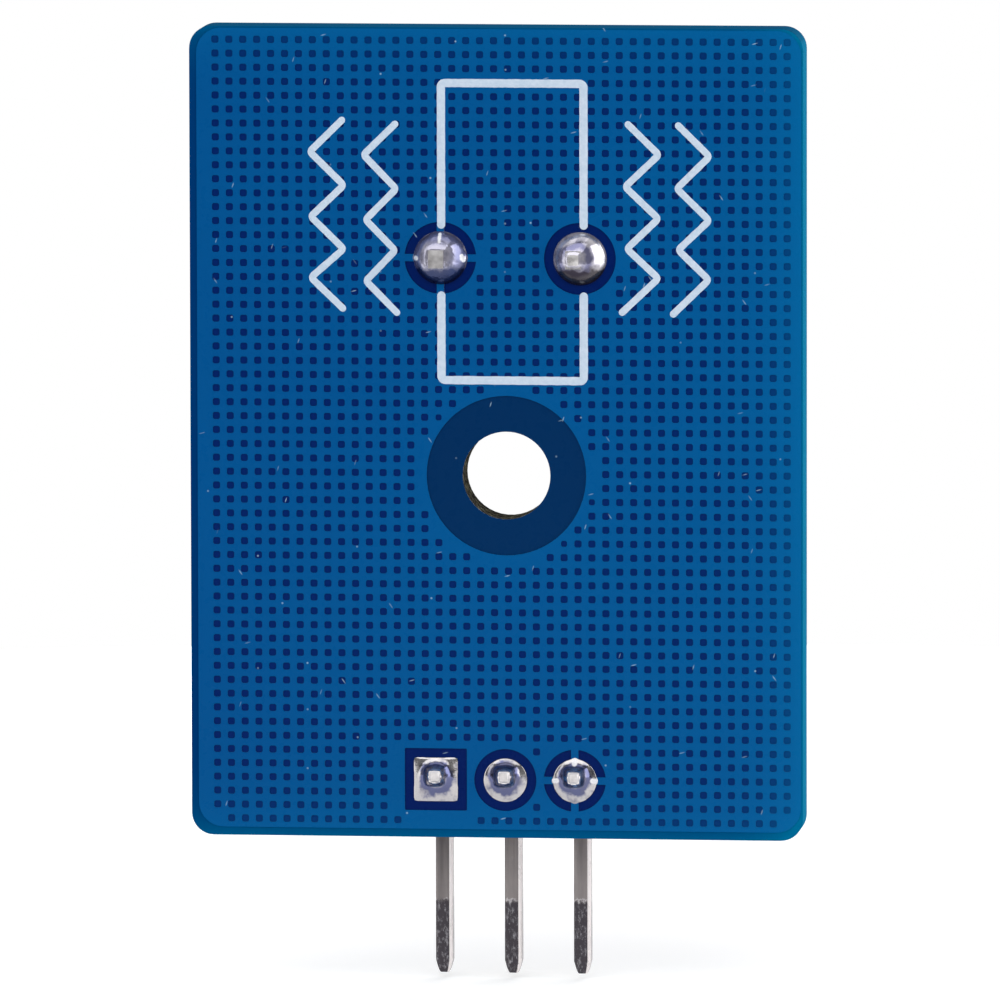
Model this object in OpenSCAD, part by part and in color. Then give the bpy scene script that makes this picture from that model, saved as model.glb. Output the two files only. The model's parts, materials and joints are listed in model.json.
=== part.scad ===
// Three-pin vibration switch module, in millimetres.
// The board stands upright: X to the right as seen from the solder side, Z up,
// the solder side faces -Y and the component side faces +Y.
// The origin is the centre of the mounting hole, on the laminate's solder side.

/* [Board] */
// Width of the board
board_w = 22.35; // [21:0.05:30]
// Height of the board
board_h = 29.55; // [28.5:0.05:36]
// Thickness of the laminate
board_t = 1.6; // [1:0.2:2.4]
// Radius of the board's corners
corner_r = 0.8; // [0.4:0.1:2]
// Mounting hole centre, from the left edge
hole_from_left = 11.55; // [10:0.05:13]
// Mounting hole centre, above the bottom edge
hole_from_bottom = 13.25; // [13:0.05:14]
// Diameter of the mounting hole
hole_d = 3.2; // [2.6:0.1:3.6]
// Diameter of the copper-free ring round the mounting hole
hole_ring_d = 5.84; // [4.6:0.02:6.4]

/* [Copper, mask and print] */
// Thickness of the copper
copper_t = 0.035; // [0.02:0.005:0.07]
// Thickness of the solder mask over the copper
mask_t = 0.025; // [0.015:0.005:0.04]
// Thickness of the printed ink
ink_t = 0.02; // [0.01:0.005:0.04]
// Distance of the copper from the board's edge
pour_inset = 0.25; // [0.15:0.05:0.6]
// Gap between a pad and the copper round it
pad_gap = 0.37; // [0.2:0.01:0.5]
// Width of the four spokes that tie a ground pad to the copper
spoke_w = 0.27; // [0.2:0.01:0.4]
// Width of the tracks on the component side
track_w = 0.5; // [0.3:0.05:0.6]
// Gap between a pad and the edge of the mask
mask_gap = 0.05; // [0.03:0.01:0.1]
// Width of the printed lines
ink_w = 0.3; // [0.2:0.01:0.4]

/* [Header] */
// Distance between the header's pins
pin_pitch = 2.54; // [2.5:0.01:2.6]
// Width of the square pins
pin_w = 0.64; // [0.5:0.01:0.7]
// Centre of the header row, right of the mounting hole
header_x = -0.06; // [-1:0.01:1]
// Header row, above the board's bottom edge
header_from_bottom = 2.12; // [2:0.02:2.5]
// Height of the pins' tails above the centres of their holes
pin_lift = 0.15; // [0:0.01:0.15]
// Tails' centre line to the pins' tips
pin_reach = 7.6; // [6:0.05:9]
// Pins' centre line, above the board's component side
pin_rise = 1.3; // [1.15:0.05:1.4]
// Length of the pin tails below the solder side
tail_out = 0.62; // [0.5:0.02:0.9]
// Height of the header's solder on the solder side
header_solder_h = 0.45; // [0.3:0.01:0.48]
// Length of the tapered tips
tip_taper = 0.45; // [0.2:0.05:0.6]
// Inner radius of the pins' bend
bend_r = 0.15; // [0.1:0.05:0.3]
// Drilled diameter of the header's holes
header_drill = 1.3; // [1.26:0.01:1.34]
// Diameter of the header's pads
header_pad = 1.55; // [1.5:0.01:1.6]
// Height of the header's plastic body above the board
body_h = 2.54; // [2.3:0.02:2.8]
// Depth of the body along the pins
body_d = 1.55; // [1.2:0.05:1.8]
// Tails' centre line to the body
body_from_row = 0.8; // [0.7:0.05:1]
// Chamfer on the body's four edges
body_chamfer = 0.35; // [0.2:0.05:0.5]

/* [Vibration switch] */
// Distance between the switch's holes
hole_pitch = 5.08; // [5:0.01:5.2]
// Centre of the switch, right of the mounting hole
switch_x = 0.15; // [-1:0.01:1]
// Centre of the switch, above the mounting hole
switch_z = 7.92; // [7.5:0.02:9]
// How much closer together the switch's leads stand than their holes
lead_pinch = 0.08; // [0:0.01:0.2]
// Place of the switch's leads, right of the middle of their holes
lead_shift = -0.15; // [-0.15:0.01:0.15]
// Width of a terminal's lead
lead_w = 0.62; // [0.5:0.01:0.7]
// Depth of a terminal's lead
lead_d = 0.73; // [0.5:0.01:0.75]
// Length of the leads below the solder side
lead_out = 0.7; // [0.6:0.02:1]
// Height of the switch's solder on the solder side
switch_solder_h = 0.55; // [0.4:0.01:0.58]
// Drilled diameter of the switch's holes
switch_drill = 1.42; // [1.4:0.01:1.5]
// Diameter of the switch's pads
switch_pad = 1.9; // [1.8:0.01:2]
// Width of the housing
case_w = 11; // [10.5:0.1:12]
// Depth of the housing, across the terminals
case_d = 5.4; // [5.2:0.05:5.8]
// Height of the housing above the board
case_h = 10.4; // [9.5:0.1:12]
// Wall of the housing
case_wall = 0.7; // [0.5:0.05:0.75]
// Radius of the housing's upright edges
case_r = 0.6; // [0.3:0.05:0.9]
// Thickness of the moulded base
base_t = 1.3; // [1:0.1:1.6]
// Thickness of the potting under the base
seal_t = 0.6; // [0.4:0.1:0.8]
// Diameter of the contact ball
ball_d = 3; // [2.8:0.05:3.05]
// Travel of the ball from the terminals to the housing
ball_lift = 0.6; // [0.3:0.05:0.7]
// Thickness of the terminals' contact rails
rail_t = 0.3; // [0.2:0.02:0.3]
// Gap between the two rails, which the ball bridges
rail_gap = 1; // [0.8:0.05:1.4]
// Room beside the ball
ball_room = 0.4; // [0.2:0.05:0.6]

/* [Chip parts] */
// Length of the chips
chip_l = 1.6; // [1.5:0.05:1.7]
// Width of the chips
chip_w = 0.8; // [0.7:0.05:1]
// Height of the resistor
resistor_h = 0.45; // [0.35:0.05:0.6]
// Height of the capacitor
capacitor_h = 0.8; // [0.6:0.05:0.9]
// Length of the chips' metal ends
cap_l = 0.32; // [0.25:0.01:0.4]
// Thickness of the metal ends
cap_t = 0.05; // [0.03:0.01:0.08]
// Chips' centre line, above the header row
chips_from_row = 2.7; // [2.5:0.05:3.5]
// Width of the chips' copper lands
land_w = 0.8; // [0.75:0.05:0.95]
// Distance between the centres of a chip's lands
land_pitch = 1.5; // [1.45:0.01:1.55]

/* [Printed sign] */
// Width of the printed box, between line centres
sign_w = 5.23; // [5.1:0.01:6]
// Height of the printed box, between line centres
sign_h = 10.8; // [9:0.05:11.5]
// Centre of the box, right of the switch's centre
sign_x = 0.07; // [-0.2:0.01:0.2]
// Centre of the box, above the switch's centre
sign_z = 0.95; // [0:0.05:1.2]
// Half height of the break in the box's sides, at the pads
sign_break = 1.24; // [1.2:0.02:1.6]
// Legs in each zigzag
zig_legs = 6; // [4:1:7]
// Height of one leg
zig_h = 1.15; // [0.9:0.05:1.2]
// Width of one leg
zig_w = 1.08; // [0.8:0.02:1.2]
// Top of the box to the top of the zigzags
zig_drop = 1.42; // [1:0.02:1.6]
// Printed box to the inner zigzag
zig_from_box = 1.62; // [1.4:0.02:1.9]
// Distance between the inner and outer zigzags
zig_pitch = 1.89; // [1.7:0.01:2]

/* [Hidden] */
// Hairline left between solids that are bonded or pressed together
seat = 0.01;
// Running clearance of the ball at each end of its travel
ball_clear = 0.02;
round_fn = 48;
// Steps in the curved side of a solder joint, and in a pin's bend
solder_steps = 6;
bend_steps = 8;
// Powers of a solder joint's side
meniscus = 1.8;
dome = 0.5;
// Taper of the pin tails: its length, and the end's share of the width
tail_nose = 0.15;
tail_end = 0.68;
// Share of the width left at the pins' tips
tip_share = 0.5;
// Share of a chip's width that its coat and its fillets take up
chip_share = 0.9;
// Share of a chip's height that its fillets climb
fillet_share = 0.6;
// Copper beyond a chip's sides
land_margin = 0.1;
// Bare margin that a cut runs past the faces it goes through
past = 1;

left = -hole_from_left;
bottom = -hole_from_bottom;
header_z = bottom + header_from_bottom;
front = board_t;
back_top = copper_t + mask_t;
front_top = board_t + copper_t + mask_t;

// Header positions, from left to right: signal, supply, ground
pin_x = [for (i = [-1:1]) header_x + i * pin_pitch];
pin_z = header_z + pin_lift;
// Switch positions, from left to right: ground, signal
hole_x = [for (s = [-1, 1]) switch_x + s * hole_pitch / 2];
case_x = switch_x + lead_shift;
lead_pitch = hole_pitch - lead_pinch;
lead_x = [for (s = [-1, 1]) case_x + s * lead_pitch / 2];

resistor_x = header_x - pin_pitch / 2;
capacitor_x = header_x + pin_pitch / 2;
chip_x = [resistor_x, capacitor_x];
chip_z = header_z + chips_from_row;
// The chips' undersides rest on their lands
chip_y = board_t + copper_t + seat;

// Inside of the switch
case_y = front_top + seat;
room_w = case_w - 2 * case_wall;
room_d = case_d - 2 * case_wall;
base_y = case_y + seal_t;
room_y = base_y + base_t;
room_top = case_y + case_h - case_wall;
// At rest the ball hangs its clearance off the rails' two inner edges
ball_rest = sqrt(pow(ball_d / 2 + ball_clear, 2) - pow(rail_gap / 2, 2));
ball_z = switch_z + room_d / 2 - ball_clear - ball_lift - ball_d / 2;
rail_z = ball_z - ball_rest - rail_t;
ball_y = (room_y + room_top) / 2;
window = ball_d + 2 * ball_room;

// ---- shapes that repeat -------------------------------------------------

// A flat XZ drawing, given thickness along +Y from y0 to y1
module layer(y0, y1) {
    translate([0, y1, 0]) rotate([90, 0, 0]) linear_extrude(y1 - y0) children();
}

// A body turned about the Y axis; its profile is [radius, y]
module turned_y(x, z) {
    translate([x, 0, z]) rotate([-90, 0, 0]) rotate_extrude($fn = round_fn) children();
}

// Rectangle with round corners, from its lower left corner
module round_rect(w, h, r) {
    translate([r, 0]) square([w - 2 * r, h]);
    translate([0, r]) square([w, h - 2 * r]);
    for (x = [r, w - r], y = [r, h - r])
        translate([x, y]) circle(r, $fn = round_fn);
}

// The board's outline, drawn back by inset
module board_outline(inset = 0) {
    translate([left + inset, bottom + inset])
        round_rect(board_w - 2 * inset, board_h - 2 * inset, max(corner_r - inset, 0.1));
}

module disc_at(x, z, d) {
    translate([x, z]) circle(d = d, $fn = round_fn);
}

// A header pad, grown all round; the signal pin's pad is square
module header_pad_shape(i, grow = 0) {
    size = header_pad + 2 * grow;
    if (i == 0) translate([pin_x[i], header_z]) square(size, center = true);
    else disc_at(pin_x[i], header_z, size);
}

module switch_pad_shape(i, grow = 0) {
    disc_at(hole_x[i], switch_z, switch_pad + 2 * grow);
}

// A straight line of round-ended ink or copper between two points
module stroke(a, b, w) {
    d = b - a;
    translate(a) rotate(atan2(d.y, d.x)) translate([0, -w / 2]) square([norm(d), w]);
    for (p = [a, b]) translate(p) circle(d = w, $fn = round_fn / 2);
}

// Strokes from each point to the next
module path(points, w) {
    for (i = [0:len(points) - 2]) stroke(points[i], points[i + 1], w);
}

// ---- board and its layers -----------------------------------------------

module drill_holes() {
    for (x = pin_x) disc_at(x, header_z, header_drill + 2 * seat);
    for (x = hole_x) disc_at(x, switch_z, switch_drill + 2 * seat);
}

module circuit_board() {
    color([0.62, 0.66, 0.45]) layer(0, board_t) difference() {
        board_outline();
        disc_at(0, 0, hole_d);
        drill_holes();
    }
}

// Four spokes from a ground pad's edge into the copper round it
module spokes(x, z, pad) {
    reach = pad + 2 * pad_gap + spoke_w;
    translate([x, z]) difference() {
        union() {
            square([reach, spoke_w], center = true);
            square([spoke_w, reach], center = true);
        }
        circle(d = pad + 2 * seat, $fn = round_fn);
    }
}

module pour_shape() {
    difference() {
        board_outline(pour_inset);
        disc_at(0, 0, hole_ring_d);
        for (i = [0:2]) header_pad_shape(i, pad_gap);
        for (i = [0:1]) switch_pad_shape(i, pad_gap);
    }
    spokes(pin_x[2], header_z, header_pad);
    spokes(hole_x[0], switch_z, switch_pad);
}

module back_copper_pour() {
    color([0.72, 0.45, 0.2]) layer(-copper_t, 0) pour_shape();
}

module pad_openings(grow) {
    for (i = [0:2]) header_pad_shape(i, grow);
    for (i = [0:1]) switch_pad_shape(i, grow);
}

module back_solder_mask() {
    color([0, 0.33, 0.59]) difference() {
        layer(-back_top, 0) difference() {
            board_outline();
            disc_at(0, 0, hole_d);
            pad_openings(mask_gap);
        }
        layer(-copper_t, past) pour_shape();
    }
}

// ---- printed sign -------------------------------------------------------

sign_cx = switch_x + sign_x;
sign_cz = switch_z + sign_z;

// Half of the box: the part above the pads (s = 1) or below them (s = -1)
module box_half(s) {
    x0 = sign_cx - sign_w / 2;
    x1 = sign_cx + sign_w / 2;
    z_end = switch_z + s * sign_break;
    z_far = sign_cz + s * sign_h / 2;
    path([[x0, z_end], [x0, z_far], [x1, z_far], [x1, z_end]], ink_w);
}

// One zigzag; side is -1 left of the box and 1 right of it
module zigzag(side, x_near) {
    z_top = sign_cz + sign_h / 2 - zig_drop;
    points = [for (i = [0:zig_legs]) [x_near + side * (i % 2) * zig_w, z_top - i * zig_h]];
    path(points, ink_w);
}

module back_silkscreen() {
    color([0.82, 0.87, 0.92]) layer(-back_top - ink_t, -back_top) {
        for (s = [-1, 1]) box_half(s);
        for (side = [-1, 1], k = [0:1])
            zigzag(side, sign_cx + side * (sign_w / 2 + zig_from_box + k * zig_pitch));
    }
}

// ---- plated holes and solder --------------------------------------------

module plated_hole(x, z, drill) {
    difference() {
        union() {
            layer(-copper_t, 0) children();
            layer(board_t, board_t + copper_t) children();
            layer(-copper_t, board_t + copper_t) disc_at(x, z, drill);
        }
        layer(-past, board_t + past) disc_at(x, z, drill - 2 * copper_t);
    }
}

module header_plated_holes() {
    color([0.75, 0.5, 0.25]) for (i = [0:2])
        plated_hole(pin_x[i], header_z, header_drill) header_pad_shape(i);
}

module switch_plated_holes() {
    color([0.75, 0.5, 0.25]) for (i = [0:1])
        plated_hole(hole_x[i], switch_z, switch_drill) switch_pad_shape(i);
}

// Solder that fills a plated hole and stands up on the solder side. Its side follows a
// power curve: swell over 1 draws it in to a meniscus, under 1 swells it to a dome.
module solder_joint(x, z, drill, pad, top, back_h, swell) {
    bore_r = drill / 2 - copper_t - seat;
    pad_r = pad / 2 - mask_gap;
    y_back = -copper_t - seat;
    steps = [for (k = [0:solder_steps]) k / solder_steps];
    back_side = [for (t = steps)
        [top / 2 + (pad_r - top / 2) * pow(t, swell), y_back - back_h * (1 - t)]];
    turned_y(x, z) polygon(concat([[0, y_back - back_h]], back_side,
        [[bore_r, y_back], [bore_r, board_t], [0, board_t]]));
}

module header_solder_joints() {
    color([0.8, 0.79, 0.75]) for (x = pin_x) difference() {
        solder_joint(x, header_z, header_drill, header_pad, pin_w, header_solder_h, meniscus);
        layer(-past, board_t + past) translate([x, pin_z])
            square(pin_w + 2 * seat, center = true);
    }
}

module switch_solder_joints() {
    color([0.8, 0.79, 0.75]) for (i = [0:1]) difference() {
        solder_joint(hole_x[i], switch_z, switch_drill, switch_pad, lead_w, switch_solder_h, dome);
        layer(-past, board_t + past) translate([lead_x[i], switch_z])
            square([lead_w + 2 * seat, lead_d + 2 * seat], center = true);
    }
}

// ---- header -------------------------------------------------------------

leg_y = board_t + pin_rise;

function arc(c, r, a0, a1) = [for (k = [0:bend_steps])
    let (a = a0 + (a1 - a0) * k / bend_steps) [c.x + r * cos(a), c.y + r * sin(a)]];

// Square bar from z = 0 down to its tapered end
function tapered_end(x, z) = [[x + pin_w / 2, z + tip_taper], [x + pin_w * tip_share / 2, z],
    [x - pin_w * tip_share / 2, z], [x - pin_w / 2, z + tip_taper]];

// Blunt end of the tail, at y
function tail_nose_points(x, y) = [[x - pin_w / 2, y + tail_nose], [x - pin_w * tail_end / 2, y],
    [x + pin_w * tail_end / 2, y], [x + pin_w / 2, y + tail_nose]];

// The pin from the side: x is the board's Y, y is the board's Z
module pin_side() {
    bend = bend_r + pin_w / 2;
    centre = [leg_y - bend, pin_z - bend];
    tail = [for (p = tail_nose_points(pin_z, -tail_out)) [p.y, p.x]];
    polygon(concat([tail[3]], arc(centre, bend_r + pin_w, 90, 0),
        tapered_end(leg_y, pin_z - pin_reach), arc(centre, bend_r, 0, 90),
        [tail[0], tail[1], tail[2]]));
}

// The pin from the front and from above, to taper its other two sides
module pin_limits() {
    top = pin_z + pin_w;
    layer(leg_y - pin_w, leg_y + pin_w)
        polygon(concat([[-pin_w / 2, top], [pin_w / 2, top]],
            tapered_end(0, pin_z - pin_reach)));
    translate([0, 0, pin_z - pin_w]) linear_extrude(2 * pin_w)
        polygon(concat(tail_nose_points(0, -tail_out), [[pin_w / 2, leg_y], [-pin_w / 2, leg_y]]));
}

module header_pin(i) {
    color([0.72, 0.72, 0.7]) translate([pin_x[i], 0, 0]) intersection() {
        translate([-pin_w / 2, 0, 0]) rotate([90, 0, 90]) linear_extrude(pin_w) pin_side();
        pin_limits();
    }
}

module signal_pin() { header_pin(0); }
module supply_pin() { header_pin(1); }
module ground_pin() { header_pin(2); }

// One position of the body, from the pins' ends
module body_cell() {
    c = body_chamfer;
    w = pin_pitch / 2;
    polygon([[-w, c], [-w + c, 0], [w - c, 0], [w, c], [w, body_h - c], [w - c, body_h],
        [-w + c, body_h], [-w, body_h - c]]);
}

module header_body() {
    top = pin_z - body_from_row;
    color([0.08, 0.08, 0.08]) translate([0, front_top + seat, top - body_d])
        linear_extrude(body_d) difference() {
            for (x = pin_x) translate([x, 0]) body_cell();
            for (x = pin_x) translate([x, leg_y - front_top - seat])
                square(pin_w + 2 * seat, center = true);
        }
}

// ---- vibration switch ---------------------------------------------------

// Lead, post and contact rail. The rail runs in from the post to beside the ball.
module terminal(i, s) {
    x = lead_x[i];
    rail_in = case_x + s * rail_gap / 2;
    rail_out = x + s * lead_w / 2;
    rail_bottom = room_y + seat;
    rail_top = ball_y + window / 2;
    color([0.83, 0.68, 0.32]) {
        translate([x - lead_w / 2, -lead_out, switch_z - lead_d / 2])
            cube([lead_w, rail_bottom + lead_out + rail_t, lead_d]);
        translate([x - lead_w / 2, rail_bottom, rail_z])
            cube([lead_w, rail_t, switch_z - rail_z]);
        translate([min(rail_in, rail_out), rail_bottom, rail_z])
            cube([abs(rail_out - rail_in), rail_top - rail_bottom, rail_t]);
    }
}

module ground_terminal() { terminal(0, -1); }
module signal_terminal() { terminal(1, 1); }

// Flat outline of the housing, drawn in by inset
module case_outline(inset) {
    translate([case_x - case_w / 2 + inset, switch_z - case_d / 2 + inset])
        round_rect(case_w - 2 * inset, case_d - 2 * inset, max(case_r - inset, 0.1));
}

module lead_holes() {
    for (x = lead_x) translate([x, switch_z])
        square([lead_w + 2 * seat, lead_d + 2 * seat], center = true);
}

module switch_housing() {
    color([0.07, 0.07, 0.08]) difference() {
        layer(case_y, case_y + case_h) case_outline(0);
        layer(case_y - past, room_top) case_outline(case_wall);
    }
}

module switch_base() {
    color([0.2, 0.2, 0.2]) layer(base_y + seat, room_y) difference() {
        case_outline(case_wall + seat);
        lead_holes();
    }
}

module switch_seal() {
    color([0.3, 0.28, 0.22]) layer(case_y, base_y) difference() {
        case_outline(case_wall + seat);
        lead_holes();
    }
}

// Block round the ball, with a window for the ball and a groove for the terminals
module contact_chamber() {
    bottom_y = room_y + seat;
    floor_z = switch_z - case_d / 2;
    groove_x = lead_x[0] - lead_w / 2 - seat;
    color([0.9, 0.89, 0.85]) difference() {
        layer(bottom_y, room_top - seat) case_outline(case_wall + seat);
        translate([case_x - window / 2, ball_y - window / 2, floor_z])
            cube([window, window, case_d]);
        for (x = lead_x) translate([x - lead_w / 2 - seat, bottom_y - past, floor_z])
            cube([lead_w + 2 * seat, past + rail_t + seat, (case_d + lead_d) / 2 + seat]);
        translate([groove_x, bottom_y - past, floor_z])
            cube([2 * (case_x - groove_x), past + ball_y + window / 2 + seat - bottom_y,
                rail_z + rail_t + seat - floor_z]);
    }
}

module contact_ball() {
    color([0.88, 0.72, 0.35]) translate([case_x, ball_y, ball_z])
        sphere(d = ball_d, $fn = round_fn);
}

// ---- chip parts ---------------------------------------------------------

module chip_core(x, h) {
    translate([x - chip_l / 2 + cap_t + seat, chip_y + cap_t + seat, chip_z - chip_w / 2 + cap_t + seat])
        cube([chip_l - 2 * cap_t - 2 * seat, h - 2 * cap_t - 2 * seat, chip_w - 2 * cap_t - 2 * seat]);
}

module chip_ends(x, h) {
    for (s = [-1, 1]) difference() {
        translate([x + s * (chip_l - cap_l) / 2 - cap_l / 2, chip_y, chip_z - chip_w / 2])
            cube([cap_l, h, chip_w]);
        translate([x - chip_l / 2 + cap_t, chip_y + cap_t, chip_z - chip_w / 2 + cap_t])
            cube([chip_l - 2 * cap_t, h - 2 * cap_t, chip_w - 2 * cap_t]);
    }
}

module resistor_body() {
    color([0.92, 0.92, 0.9]) chip_core(resistor_x, resistor_h);
}

module resistor_coat() {
    w = chip_l - 2 * cap_l - 2 * seat;
    d = chip_w * chip_share;
    color([0.05, 0.05, 0.06])
        translate([resistor_x - w / 2, chip_y + resistor_h - cap_t, chip_z - d / 2])
            cube([w, cap_t - seat, d]);
}

module resistor_end_caps() {
    color([0.8, 0.8, 0.8]) chip_ends(resistor_x, resistor_h);
}

module capacitor_body() {
    color([0.7, 0.58, 0.42]) chip_core(capacitor_x, capacitor_h);
}

module capacitor_end_caps() {
    color([0.8, 0.8, 0.8]) chip_ends(capacitor_x, capacitor_h);
}

// Solder up the outer face of each chip end, with a hollow slope
module fillet(x, s, h) {
    run = (land_pitch + land_w - chip_l) / 2 - 2 * seat;
    rise = h * fillet_share;
    d = chip_w * chip_share;
    slope = [for (k = [0:solder_steps]) [run * (k / solder_steps),
        rise * pow(1 - k / solder_steps, 2)]];
    translate([x + s * (chip_l / 2 + seat), chip_y, chip_z - d / 2])
        mirror([s < 0 ? 1 : 0, 0, 0]) linear_extrude(d)
            polygon(concat([[0, 0]], slope));
}

module chip_solder_fillets() {
    color([0.82, 0.82, 0.8]) for (s = [-1, 1]) {
        fillet(resistor_x, s, resistor_h);
        fillet(capacitor_x, s, capacitor_h);
    }
}

// ---- component side layers ----------------------------------------------

module land_shape(grow = 0) {
    for (x = chip_x, s = [-1, 1]) translate([x + s * land_pitch / 2, chip_z])
        square([land_w + 2 * grow, chip_w + land_margin + 2 * grow], center = true);
}

// Copper that stops at a pad's edge, drawn short of it by the hairline
module tracks() {
    ring = hole_ring_d / 2 + track_w;
    turn_z = switch_z - switch_pad / 2 - 2 * track_w;
    difference() {
        union() {
            path([[pin_x[0], header_z], [pin_x[0], chip_z], [-ring, chip_z + ring - abs(pin_x[0])],
                [-ring, turn_z - track_w], [-ring + track_w, turn_z],
                [hole_x[1] - track_w, turn_z], [hole_x[1], turn_z + track_w],
                [hole_x[1], switch_z]], track_w);
            path([[pin_x[1], header_z], [pin_x[1], chip_z]], track_w);
            path([[pin_x[2], header_z], [pin_x[2], chip_z]], track_w);
            land_shape();
            path([[resistor_x + land_pitch / 2, chip_z], [capacitor_x - land_pitch / 2, chip_z]],
                track_w);
        }
        for (i = [0:2]) header_pad_shape(i, seat);
        for (i = [0:1]) switch_pad_shape(i, seat);
    }
}

module front_copper_tracks() {
    color([0.72, 0.45, 0.2]) layer(board_t, board_t + copper_t) tracks();
}

module front_solder_mask() {
    color([0, 0.33, 0.59]) difference() {
        layer(board_t, front_top) difference() {
            board_outline();
            disc_at(0, 0, hole_d);
            pad_openings(mask_gap);
            land_shape(mask_gap);
        }
        layer(board_t - past, board_t + copper_t) tracks();
    }
}

// Lines above the chips, beside the header's pads and round the switch
module front_silkscreen() {
    line = ink_w / 2;
    chip_line = chip_w / 2 + land_margin + 2 * line;
    pad_line = header_pad / 2 + 2 * line;
    color([0.82, 0.87, 0.92]) layer(front_top, front_top + ink_t) {
        for (x = chip_x) translate([x - land_pitch / 2, chip_z + chip_line])
            square([land_pitch, line]);
        for (s = [-1, 1]) translate([header_x + s * (1.5 * pin_pitch + line), header_z])
            square([line, 2 * pad_line], center = true);
        difference() {
            case_outline(-2 * line);
            case_outline(-line);
        }
    }
}

circuit_board();
back_copper_pour();
back_solder_mask();
back_silkscreen();
header_plated_holes();
switch_plated_holes();
header_solder_joints();
switch_solder_joints();
signal_pin();
supply_pin();
ground_pin();
header_body();
signal_terminal();
ground_terminal();
front_copper_tracks();
front_solder_mask();
front_silkscreen();
switch_housing();
switch_base();
switch_seal();
contact_chamber();
contact_ball();
resistor_body();
resistor_coat();
resistor_end_caps();
capacitor_body();
capacitor_end_caps();
chip_solder_fillets();
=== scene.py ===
"""Looks of the three-pin vibration switch module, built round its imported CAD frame."""

import json
import math
import random

import bmesh
import bpy
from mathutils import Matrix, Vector
from mathutils.geometry import delaunay_2d_cdt


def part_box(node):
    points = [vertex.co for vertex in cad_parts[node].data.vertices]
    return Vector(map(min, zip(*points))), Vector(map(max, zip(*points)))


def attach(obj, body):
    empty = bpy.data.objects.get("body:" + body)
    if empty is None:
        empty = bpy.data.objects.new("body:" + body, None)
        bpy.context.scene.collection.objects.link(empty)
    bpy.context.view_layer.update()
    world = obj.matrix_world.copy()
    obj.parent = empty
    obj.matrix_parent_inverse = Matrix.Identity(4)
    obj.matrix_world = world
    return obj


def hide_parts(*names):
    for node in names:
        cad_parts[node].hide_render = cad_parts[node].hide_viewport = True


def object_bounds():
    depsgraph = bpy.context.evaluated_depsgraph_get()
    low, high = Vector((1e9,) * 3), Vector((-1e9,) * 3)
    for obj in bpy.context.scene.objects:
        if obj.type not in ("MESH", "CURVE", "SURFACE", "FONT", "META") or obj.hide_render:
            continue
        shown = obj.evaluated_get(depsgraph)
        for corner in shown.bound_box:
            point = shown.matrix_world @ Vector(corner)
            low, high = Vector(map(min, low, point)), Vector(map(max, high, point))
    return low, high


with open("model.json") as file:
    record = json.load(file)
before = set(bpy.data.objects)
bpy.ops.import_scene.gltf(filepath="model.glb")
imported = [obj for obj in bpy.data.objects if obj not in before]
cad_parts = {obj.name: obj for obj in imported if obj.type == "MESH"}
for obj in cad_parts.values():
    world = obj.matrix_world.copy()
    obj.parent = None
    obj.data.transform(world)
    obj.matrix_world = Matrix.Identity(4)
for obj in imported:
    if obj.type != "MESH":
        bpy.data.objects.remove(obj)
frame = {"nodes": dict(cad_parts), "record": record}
cad_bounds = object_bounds()
random.seed(7)

MM = 0.001
BODY = "board"

# ---- sizes, in millimetres ----

COPPER_T = 0.035
MASK_T = 0.025
INK_T = 0.02
HATCH_PITCH = 0.508
HATCH_WINDOW = 0.26
HATCH_BEVEL = 0.05
HATCH_COLUMNS = 42
HATCH_ROWS = 57
# Centre of the hatch's upper left window, from the mounting hole
HATCH_LEFT = -10.60
HATCH_TOP = 15.82
# From the centre of a clearance, windows start this far out
SQUARE_START = 1.525
HEADER_START = 1.38
SWITCH_START = 1.59
HOLE_START = 3.2
# Beside the square pad's corners, they start this far from the pad itself
SQUARE_CORNER = 0.85
# Windows this close outside the hole's clearance are shrunk to a share of their width
SHRINK_RANGE = 0.06
SHRUNK = 0.84
# Copper stands this far back from the board's left, right, bottom and top edge
POUR_INSET = (0.26, 0.06, 0.30, 0.06)
POUR_CORNER = 0.9
CORNER_R = 0.82
HOLE_D = 3.2
HOLE_RING_D = 5.84
# Clear of copper round each pad, and the spokes across it
PAD_GAP = 0.37
SPOKE_W = 0.27
# The clearances are drawn this much smaller, so that the copper of the CAD pour stays covered
CLEARANCE_LAP = 0.01
# The mask's openings are wider than the pads by this, and the solder laps them by that
MASK_GAP = 0.02
SOLDER_LAP = 0.025
BOX_LINE = 0.3
ZIGZAG_LINE = 0.25


def box_mm(node):
    """Lowest and highest corner of a CAD node, in millimetres."""
    lo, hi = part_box(node)
    return lo / MM, hi / MM


def middle(node):
    lo, hi = box_mm(node)
    return (lo + hi) / 2


board_lo, board_hi = box_mm("circuit_board")
BOARD_T = board_hi.y
PINS = ("signal_pin", "supply_pin", "ground_pin")
header_x = [middle(n).x for n in PINS]
pads_lo, pads_hi = box_mm("header_plated_holes")
header_z = (pads_lo.z + pads_hi.z) / 2
header_pad = pads_hi.z - pads_lo.z
holes_lo, holes_hi = box_mm("switch_plated_holes")
switch_z = (holes_lo.z + holes_hi.z) / 2
switch_pad = holes_hi.z - holes_lo.z
switch_x = [holes_lo.x + switch_pad / 2, holes_hi.x - switch_pad / 2]

# ---- materials ----


def new_material(name, base, rough, metallic=0.0, specular=0.5):
    """A Principled material and its node tree, shader and object coordinates."""
    mat = bpy.data.materials.new(name)
    mat.use_nodes = True
    tree = mat.node_tree
    bsdf = tree.nodes["Principled BSDF"]
    bsdf.inputs["Base Color"].default_value = (*base, 1)
    bsdf.inputs["Roughness"].default_value = rough
    bsdf.inputs["Metallic"].default_value = metallic
    bsdf.inputs["Specular IOR Level"].default_value = specular
    coords = tree.nodes.new("ShaderNodeTexCoord")
    return mat, tree, bsdf, coords


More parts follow.
